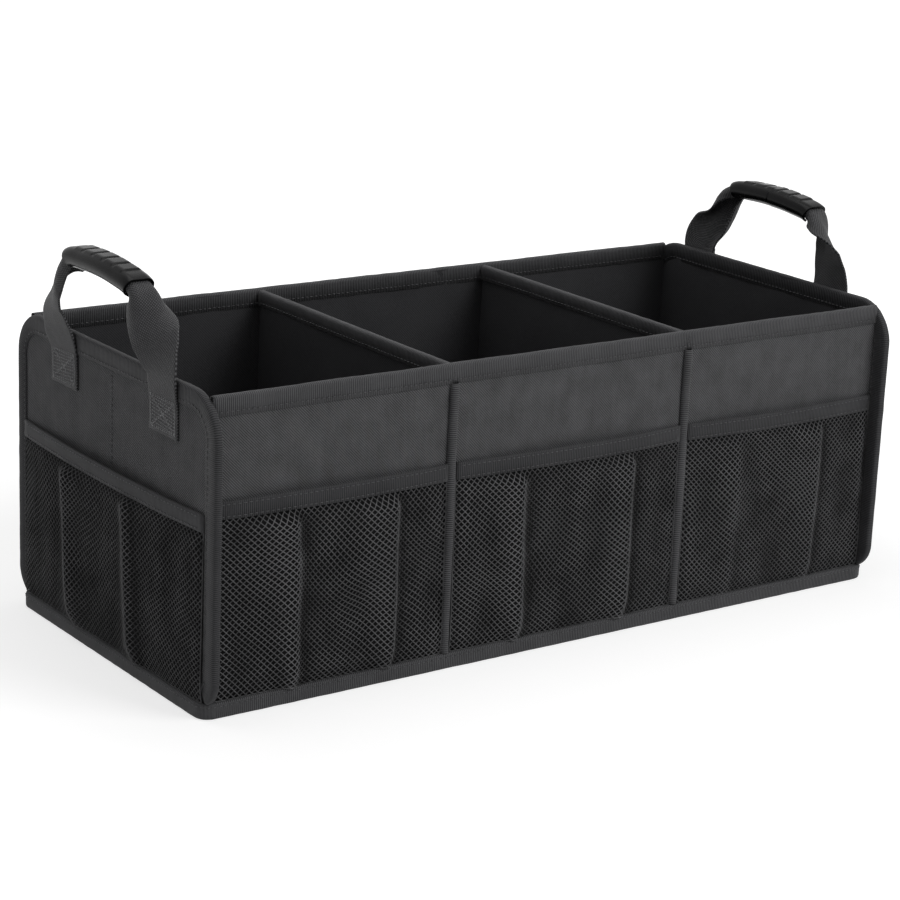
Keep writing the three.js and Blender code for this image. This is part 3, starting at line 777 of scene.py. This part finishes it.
class Pocket:
    """The form of one net pocket, in its wall's own frame."""

    def __init__(self, wall, label, folds):
        self.at = WALLS[wall]
        self.turn = self.at.to_3x3()
        low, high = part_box(f"{label}_net")
        ends = [(self.at.inverted() @ corner).x for corner in (low, high)]
        self.x0, self.x1 = min(ends), max(ends)
        low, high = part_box(f"{label}_band")
        self.top, self.band_bottom = high.z, low.z
        self.bottom = base_top + GAP
        self.half = (self.x1 - self.x0) / 2
        self.middle = (self.x1 + self.x0) / 2
        self.folds = folds
        # The net's painted light level on this wall, and the side on which its folds' flanks get painted
        # light.
        self.tone, self.facing = NET_PAINTED_LEVEL[wall], NET_FACING[wall]
        self.seat = GAP + MOUTH_HALF
        self.levels = [self.lay(i / NET_ROWS) for i in range(NET_ROWS + 1)]

    def bow(self, x):
        """How far the pocket's mouth bows out at x."""
        return MOUTH_BOW * (1 - ((x - self.middle) / self.half) ** 2)

    def rise(self, z):
        """0 at the net's foot and 1 at its band."""
        return min(1, max(0, (z - self.bottom) / (self.band_bottom - self.bottom)))

    def fold(self, x, rise):
        """How high the net's folds stand at x. Each is steep on one side and widens towards the mouth."""
        height = 0.0
        for foot, mouth, deep, (steep, low_width, top_width) in self.folds:
            away = x - self.x0 - (foot + (mouth - foot) * rise) * 2 * self.half
            wide = steep if away < 0 else low_width + (top_width - low_width) * rise
            height = max(height, deep * math.exp(-(abs(away / wide) ** 1.5)))
        return height

    def out(self, x, z):
        """How far the net stands off the wall."""
        rise = self.rise(z)
        # Folds end just under the band, and are lower at the foot.
        fade = smooth(0, 0.07, 1 - rise) * (0.6 + 0.4 * smooth(0, 0.12, rise))
        at_edge = smooth(0, 9 * MM, self.half - abs(x - self.middle))
        slack = NET_SLACK * (1 - rise) * math.sin(min(1, rise * 8) * math.pi / 2)
        wave = 0.5 + noise.noise(Vector((x / NET_WAVE_SIZE[0], self.middle * 9, z / NET_WAVE_SIZE[1])))
        bulge = FOLD_DEPTH * self.fold(x, rise) + NET_WAVE * max(0, wave)
        return self.seat + slack + self.bow(x) * math.sqrt(rise) + bulge * fade * at_edge

    def lift(self, point):
        """Painted light and shade on the net: painted shade where it closes up at a fold's foot, painted
        light on its crests and lit flanks.
        """
        reach = 6 * MM
        before, here, after = (self.out(point.x + way * reach, point.z) for way in (-1, 0, 1))
        height = (here - self.seat - self.bow(point.x)) / FOLD_DEPTH
        slope = (before - after) / (2 * reach) * self.facing
        hollow = (before + after - 2 * here) / reach
        shade = min(SHADE_RANGE[1], max(SHADE_RANGE[0], HOLLOW_SHADE * hollow))
        return min(1, max(0, self.tone + CREST_LIGHT * height + FLANK_LIGHT * slope - shade))

    def lay(self, rise):
        """The net's length along its folds, measured from x0, at even steps along the wall."""
        z = self.bottom + (self.band_bottom - self.bottom) * rise
        steps = [0.0]
        for i in range(NET_COLUMNS):
            x = [self.x0 + 2 * self.half * (i + k) / NET_COLUMNS for k in (0, 1)]
            steps.append(steps[-1] + math.hypot(x[1] - x[0], self.out(x[1], z) - self.out(x[0], z)))
        return [step / steps[-1] for step in steps]

    def place(self, share, z):
        """The point at a share of the net's own length, so that its folds take up cloth."""
        rise = self.rise(z)
        level = rise * NET_ROWS
        found = []
        for steps in (self.levels[int(level)], self.levels[min(NET_ROWS, int(level) + 1)]):
            i = min(max(bisect.bisect_right(steps, share), 1), len(steps) - 1)
            part = (share - steps[i - 1]) / (steps[i] - steps[i - 1])
            found.append((i - 1 + part) / (len(steps) - 1))
        along = found[0] + (found[1] - found[0]) * (level - int(level))
        x = self.x0 + 2 * self.half * along
        # The limp mesh sags unevenly between its foot and its mouth, so that its threads run in curves.
        loose = noise.noise(Vector((x / NET_SAG_SIZE[0], self.middle * 7, z / NET_SAG_SIZE[1])))
        loose *= math.sin(rise * math.pi)
        return self.at @ Vector((x, self.out(x, z), z + NET_SAG * loose))


def make_net(label, pocket):
    """Diamond mesh: a square grid turned on its point, trimmed and laid on the pocket's form, made thread."""
    wide, tall = NET_CELL
    height = pocket.top - 1 * MM - pocket.bottom
    columns = math.ceil((2 * pocket.half / wide + height / tall) / 2) * 2
    form = bmesh.new()
    bmesh.ops.create_grid(form, x_segments=columns, y_segments=columns, size=columns / 2)
    bmesh.ops.rotate(form, verts=form.verts, cent=(0, 0, 0), matrix=Matrix.Rotation(math.pi / 4, 3, "Z"))
    bmesh.ops.scale(form, verts=form.verts, vec=(wide / math.sqrt(2), tall / math.sqrt(2), 1))
    for reach, axis in ((pocket.half - 0.3 * MM, 0), (height / 2, 1)):
        for way in (-1, 1):
            normal = Vector((0, 0, 0))
            normal[axis] = way
            bmesh.ops.bisect_plane(
                form,
                geom=form.verts[:] + form.edges[:] + form.faces[:],
                dist=0.05 * MM,
                plane_co=normal * reach,
                plane_no=normal,
                clear_outer=True,
            )
    middle = pocket.bottom + height / 2
    for vert in form.verts:
        vert.co = pocket.place(0.5 - vert.co.x / (2 * pocket.half), middle + vert.co.y)
    form.normal_update()
    bmesh.ops.wireframe(
        form,
        faces=form.faces,
        thickness=NET_THREAD,
        use_replace=True,
        use_boundary=True,
        use_even_offset=False,
    )
    # Each thread point keeps its painted light and shade, which the net's material reads.
    lift = form.verts.layers.float.new("lift")
    unturned = pocket.at.inverted()
    for vert in form.verts:
        vert[lift] = pocket.lift(unturned @ vert.co)
    made = piece(f"{label}_mesh", form, net_yarn, "pocket_net", (f"{label}_net",))


def make_band(label, pocket):
    """The tape folded over the net's top edge, sewn near its lower edge."""
    count = 60
    half = MOUTH_HALF - BAND_TAPE / 2
    leg = pocket.top - pocket.band_bottom
    section = bend([(half, -leg), (half, 0), (-half, 0), (-half, -leg)], MOUTH_FOLD, 3)
    path = []
    for i in range(count + 1):
        x = pocket.x1 + (pocket.x0 - pocket.x1) * i / count
        origin = pocket.at @ Vector((x, pocket.seat + pocket.bow(x), pocket.top - BAND_TAPE / 2))
        origin.z += ripple(origin, *MOUTH_WAVE)
        path.append((origin, pocket.turn @ Vector((0, 1, 0)), Vector((0, 0, 1))))
    form = sweep(path, section, 0.2 * MM)
    piece(f"{label}_mouth", form, dark_tape, "binding_tape", (f"{label}_band",), BAND_TAPE)
    rows = []
    for drop in (leg - MOUTH_SEAMS[0], MOUTH_SEAMS[1]):
        rows.append([(origin + out * MOUTH_HALF - up * drop, out) for origin, out, up in path[1:-1]])
    stitches(f"{label}_mouth_stitches", rows)


def make_pockets():
    """The net pockets. A fold has its place at the foot and at the mouth, its height and its widths."""
    # A fold's widths: its steep side, then its open side at the foot and at the mouth.
    pleat = (5 * MM, 9 * MM, 30 * MM)
    near = (8 * MM, 5 * MM, 24 * MM)
    crease = (9 * MM, 14 * MM, 20 * MM)
    narrow = (5 * MM, 12 * MM, 12 * MM)
    strip = (16 * MM, 9 * MM, 11 * MM)
    pockets = (
        ("front", "front_left", ((0.68, 0.7, 1.0, near), (0.255, 0.26, 1.0, pleat))),
        ("front", "front_middle", ((0.73, 0.75, 1.0, near), (0.25, 0.25, 0.9, pleat))),
        ("front", "front_right", ((0.75, 0.75, 0.3, crease), (0.31, 0.31, 0.55, pleat))),
        ("left", "left_end", ((0.33, 0.37, 0.65, narrow), (0.67, 0.71, 0.9, strip))),
        ("right", "right_end", ((0.69, 0.65, 1.0, strip), (0.34, 0.27, 0.8, crease))),
    )
    for wall, label, folds in pockets:
        pocket = Pocket(wall, label, folds)
        make_band(label, pocket)
        make_net(label, pocket)


# Handles


CURVE_STEPS = 24


def catmull(points):
    """A smooth curve through points, as a list of closely spaced points."""
    ends = [points[0] * 2 - points[1], *points, points[-1] * 2 - points[-2]]
    line = []
    for p0, p1, p2, p3 in zip(ends, ends[1:], ends[2:], ends[3:]):
        knots = [0.0]
        for a, b in ((p0, p1), (p1, p2), (p2, p3)):
            knots.append(knots[-1] + (b - a).length ** 0.5)
        t0, t1, t2, t3 = knots
        for i in range(CURVE_STEPS):
            t = t1 + (t2 - t1) * i / CURVE_STEPS
            a1 = p0.lerp(p1, (t - t0) / (t1 - t0))
            a2 = p1.lerp(p2, (t - t1) / (t2 - t1))
            a3 = p2.lerp(p3, (t - t2) / (t3 - t2))
            b1 = a1.lerp(a2, (t - t0) / (t2 - t0))
            b2 = a2.lerp(a3, (t - t1) / (t3 - t1))
            line.append(b1.lerp(b2, (t - t1) / (t2 - t1)))
    return [*line, points[-1]]


class Handle:
    """The line, turn and fold of a handle's webbing, in its end wall's own frame. Side back is 1 or -1."""

    def __init__(self, label, back):
        seat = GAP + STRAP / 2
        clear = seat + TAPE + GAP
        crest = end_top + HANDLE_RISE
        self.legs = {back: LEGS[label, "back"], -back: LEGS[label, "front"]}

        def leg(side):
            shift, bends = self.legs[side][:2]
            foot = FOOT_SPACING / 2 + shift * MM
            grip = GRIP_LENGTH / 2
            end = crest - GRIP_ARCH + side * back * GRIP_TILT
            points = [
                (foot, seat, FOOT_BOTTOM),
                (foot, seat, FOOT_BOTTOM + 18 * MM),
                (foot, clear, end_top - BINDING_WIDTH),
            ]
            points += [(foot + a * MM, clear + off * MM, end_top + up * MM) for a, off, up in bends]
            points += [
                (grip + 8 * MM, HANDLE_LEAN, end - 7 * MM),
                (grip - 2 * MM, HANDLE_LEAN, end),
                (grip / 2, HANDLE_LEAN, crest - GRIP_ARCH / 4 + side * back * GRIP_TILT / 2),
            ]
            return [Vector((side * x, y, z)) for x, y, z in points]

        first = leg(-1)
        self.line = catmull([*first, Vector((0, HANDLE_LEAN, crest)), *reversed(leg(1))])
        self.steps = [0.0]
        for a, b in zip(self.line, self.line[1:]):
            self.steps.append(self.steps[-1] + (b - a).length)
        self.length = self.steps[-1]
        self.half = self.steps[len(first) * CURVE_STEPS]
        self.grip_start = self.half - GRIP_LENGTH / 2
        self.grip_end = self.half + GRIP_LENGTH / 2

    def at(self, s):
        """The point at length s along the webbing."""
        s = min(self.length, max(0, s))
        high = min(bisect.bisect_right(self.steps, s), len(self.steps) - 1)
        share = (s - self.steps[high - 1]) / (self.steps[high] - self.steps[high - 1])
        return self.line[high - 1].lerp(self.line[high], share)

    def tangent(self, s):
        step = 2 * MM
        return (self.at(s + step) - self.at(s - step)).normalized()

    def angle(self, s, kind):
        """The webbing's turn or fold at s: kind is its place in the leg's record."""
        side = -1 if s < self.half else 1
        angles = self.legs[side][kind]
        foot = end_top - FOOT_BOTTOM
        up = s if side < 0 else self.length - s
        top = (self.grip_start if side < 0 else self.length - self.grip_end) - 3 * MM
        share = min(1, max(0, (up - foot) / (top - foot))) * (len(angles) - 1)
        step = min(int(share), len(angles) - 2)
        return math.radians(angles[step] + (angles[step + 1] - angles[step]) * (share - step))

    def axes(self, s):
        """The webbing's outward direction and its side direction."""
        tangent = self.tangent(s)
        out_of_loop = Vector((0, -1, 0)).cross(tangent).normalized()
        angle = self.angle(s, 2)
        normal = Vector((0, 1, 0)) * math.cos(angle) + out_of_loop * math.sin(angle)
        normal = (normal - tangent * normal.dot(tangent)).normalized()
        return normal, normal.cross(tangent)

    def place(self, s, w, radius, lift=0.0):
        """The point w across from the webbing's middle, folded round radius, and lift off its face."""
        normal, side = self.axes(s)
        turn = self.angle(s, 3)
        arc = radius * FOLDED_TURN
        bent = max(0, abs(w) - FOLDED_FLAT)
        angle = min(bent, arc) / arc * turn
        rest = max(0, bent - arc)
        if turn > 1e-3:
            across, down = arc / turn * math.sin(angle), arc / turn * (1 - math.cos(angle))
        else:
            across, down = min(bent, arc), 0.0
        across += min(abs(w), FOLDED_FLAT) + rest * math.cos(angle)
        down += rest * math.sin(angle)
        return self.at(s) + side * math.copysign(across, w) + normal * (lift - down)


def box_and_cross(handle, at, foot_start):
    """Rows of stitches for one sewn foot: a box with its two diagonals, on the webbing's face."""
    low, high = PATCH_INSET, PATCH_HEIGHT - PATCH_INSET
    side = STRAP_WIDTH / 2 - PATCH_INSET
    turn = at.to_3x3()

    def point(along, across):
        s = along if foot_start else handle.length - along
        return at @ handle.place(s, across, FOLDED_RADIUS, STRAP / 2)

    out = turn @ Vector((0, 1, 0))
    corners = [(low, -side), (low, side), (high, side), (high, -side)]
    lines = list(zip(corners, corners[1:] + corners[:1]))
    lines += [((low, -side), (high, side)), ((low, side), (high, -side))]
    # The box and its cross are sewn twice, side by side.
    lines += [((a + DOUBLED, b), (c + DOUBLED, d)) for (a, b), (c, d) in lines]
    # Rows of zigzag fill the box.
    for i in range(1, 9):
        along = low + (high - low) * i / 9
        lines.append(((along - 1.5 * MM, -side), (along + 1.5 * MM, side)))
    rows = []
    for start, end in lines:
        start, end = Vector(start), Vector(end)
        rows.append([(point(*start.lerp(end, i / 6)), out) for i in range(7)])
    return rows


def make_handles():
    for side, back in (("left", 1), ("right", -1)):
        handle = Handle(side, back)
        at = WALLS[side]

        def on_strap(u, v, handle=handle, at=at):
            s, w = u * handle.length, (v - 0.5) * STRAP_WIDTH
            return at @ handle.place(s, w, FOLDED_RADIUS)

        form = laid(190, 24, (handle.length, STRAP_WIDTH), on_strap)
        piece(f"{side}_strap", form, webbing, "handle_webbing", (f"{side}_handle_strap",), STRAP)
        rows = box_and_cross(handle, at, True) + box_and_cross(handle, at, False)
        name = f"{side}_strap_stitches"
        sewn = stitches(name, rows, "handle_webbing", PATCH_STITCH, PATCH_PITCH)
        sewn.data.materials[0] = patch_thread

        offset = STRAP / 2 + GAP + GRIP_WALL / 2
        radius = FOLDED_RADIUS + offset
        reach = FOLDED_FLAT + radius * FOLDED_TURN + GRIP_LIP

        def ridge(u, w):
            """Low pads across the grip's flat top, with narrow grooves between them, away from its ends."""
            beat = math.cos(2 * math.pi * ((u - 0.12) / 0.76 * GRIP_RIDGES))
            inside = smooth(0.11, 0.15, u) * (1 - smooth(0.85, 0.89, u))
            on_top = 1 - smooth(FOLDED_FLAT + 1 * MM, FOLDED_FLAT + 3.5 * MM, abs(w))
            return GRIP_RIDGE * (1 - smooth(0.55, 0.95, beat)) * inside * on_top

        def on_grip(u, v, handle=handle, at=at):
            s, w = handle.grip_start + u * GRIP_LENGTH, (v - 0.5) * 2 * reach
            return at @ handle.place(s, w, radius, offset + ridge(u, w))

        form = laid(150, 48, (GRIP_LENGTH, 2 * reach), on_grip)
        grip = piece(f"{side}_grip", form, rubber, "grip_rubber", (f"{side}_handle_grip",), GRIP_WALL)
        edge = grip.modifiers.new("edge", "BEVEL")
        edge.width = 0.7 * MM
        edge.segments = 3
        edge.limit_method = "ANGLE"
        edge.angle_limit = math.radians(50)


# Stage


# How bright the paper glows near the box, how bright the dome is, and each lamp's place, size and power.
PAPER_GLOW = 0.69
DOME_LIGHT = 0.17
LAMPS = (
    ("key", (0.9, -1.9, 1.7), 1.2, 28),
    ("top", (-0.2, 0.3, 2.2), 1.6, 15),
    ("left_fill", (-2.0, -0.4, 1.0), 1.2, 1),
)

# The photograph's camera: its place, its yaw, pitch and roll in degrees, and its focal length in frames.
CAMERA_PLACE = (-1.1898, -1.6175, 0.7077)
CAMERA_TURN = (36.04, 16.32, 2.38)
FOCAL_SHARE = 2584.5 / 900
SENSOR = 36


def background_rays(tree):
    """1 for the rays that show the white background, straight, in a reflection or through glass."""
    seen = node(tree, "LightPath")
    share = seen.outputs["Is Camera Ray"]
    for kind in ("Is Glossy Ray", "Is Transmission Ray"):
        either = {0: share, 1: seen.outputs[kind]}
        share = node(tree, "Math", either, operation="MAXIMUM").outputs[0]
    return share


def make_stage():
    """White paper that keeps a soft shadow near the box, and plain studio light from above and the right."""
    form = bmesh.new()
    bmesh.ops.create_grid(form, x_segments=1, y_segments=1, size=6)
    mesh = bpy.data.meshes.new("ground")
    form.to_mesh(mesh)
    form.free()
    ground = in_scene("ground", mesh)
    paper = bpy.data.materials.new("white_paper")
    paper.use_nodes = True
    tree = paper.node_tree
    tree.nodes.clear()
    plain = node(tree, "BsdfDiffuse", {"Color": srgb("#f4f4f4")})
    # Seen directly or in a reflection, the paper glows towards white and keeps a part of the box's shadow.
    shaded = node(tree, "BsdfDiffuse", {"Color": srgb("#bfbfbf")})
    where = node(tree, "TexCoord").outputs["Object"]
    away = node(tree, "VectorMath", {0: where}, operation="LENGTH").outputs["Value"]
    whitening = {"Value": away, "From Min": 0.4, "From Max": 1.0, "To Min": PAPER_GLOW, "To Max": 1.0}
    white = node(tree, "MapRange", whitening)
    glow = node(tree, "Emission", {"Color": (1, 1, 1, 1), "Strength": white.outputs[0]})
    bright = node(tree, "AddShader", {0: shaded.outputs[0], 1: glow.outputs[0]})
    mix = {0: background_rays(tree), 1: plain.outputs[0], 2: bright.outputs[0]}
    both = node(tree, "MixShader", mix)
    node(tree, "OutputMaterial", {"Surface": both.outputs[0]})
    ground.data.materials.append(paper)

    world = bpy.data.worlds.new("studio")
    bpy.context.scene.world = world
    world.use_nodes = True
    tree = world.node_tree
    tree.nodes.clear()
    dome = node(tree, "Background", {"Color": (1, 1, 1, 1), "Strength": DOME_LIGHT})
    white = node(tree, "Background", {"Color": (1, 1, 1, 1), "Strength": 1.0})
    mix = {0: background_rays(tree), 1: dome.outputs[0], 2: white.outputs[0]}
    both = node(tree, "MixShader", mix)
    node(tree, "OutputWorld", {"Surface": both.outputs[0]})

    for name, place, size, power in LAMPS:
        light = bpy.data.lights.new(name, "AREA")
        light.energy = power
        light.size = size
        lamp = in_scene(name, light)
        lamp.location = place
        aim = Vector((0, 0, 0.12)) - lamp.location
        lamp.rotation_euler = aim.to_track_quat("-Z", "Y").to_euler()


def make_camera():
    """The photograph's view: a long lens, from the front left and a little above."""
    yaw, pitch, roll = (math.radians(a) for a in CAMERA_TURN)
    ahead = Vector((math.sin(yaw) * math.cos(pitch), math.cos(yaw) * math.cos(pitch), -math.sin(pitch)))
    level = Vector((math.cos(yaw), -math.sin(yaw), 0))
    up = level.cross(ahead)
    right = level * math.cos(roll) + up * math.sin(roll)
    up = up * math.cos(roll) - level * math.sin(roll)
    data = bpy.data.cameras.new("camera")
    data.sensor_width = SENSOR
    data.lens = SENSOR * FOCAL_SHARE
    data.clip_end = 30
    camera = in_scene("camera", data)
    turn = Matrix((right, up, -ahead)).transposed().to_4x4()
    camera.matrix_world = Matrix.Translation(Vector(CAMERA_PLACE)) @ turn
    bpy.context.scene.camera = camera


# The hidden boards and the floor cloth keep their imported shapes; only their materials are set here.
for name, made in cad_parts.items():
    if "board" in name and not name.startswith("floor"):
        made.data.materials.clear()
        made.data.materials.append(board)
    elif name == "floor_cloth":
        made.data.materials.clear()
        made.data.materials.append(cloth)

make_camera()
make_panels()
make_hems()
make_end_bindings()
make_base()
make_ribs()
make_divider_tapes()
make_pockets()
make_handles()
make_stage()

bpy.context.scene.view_settings.view_transform = "Standard"
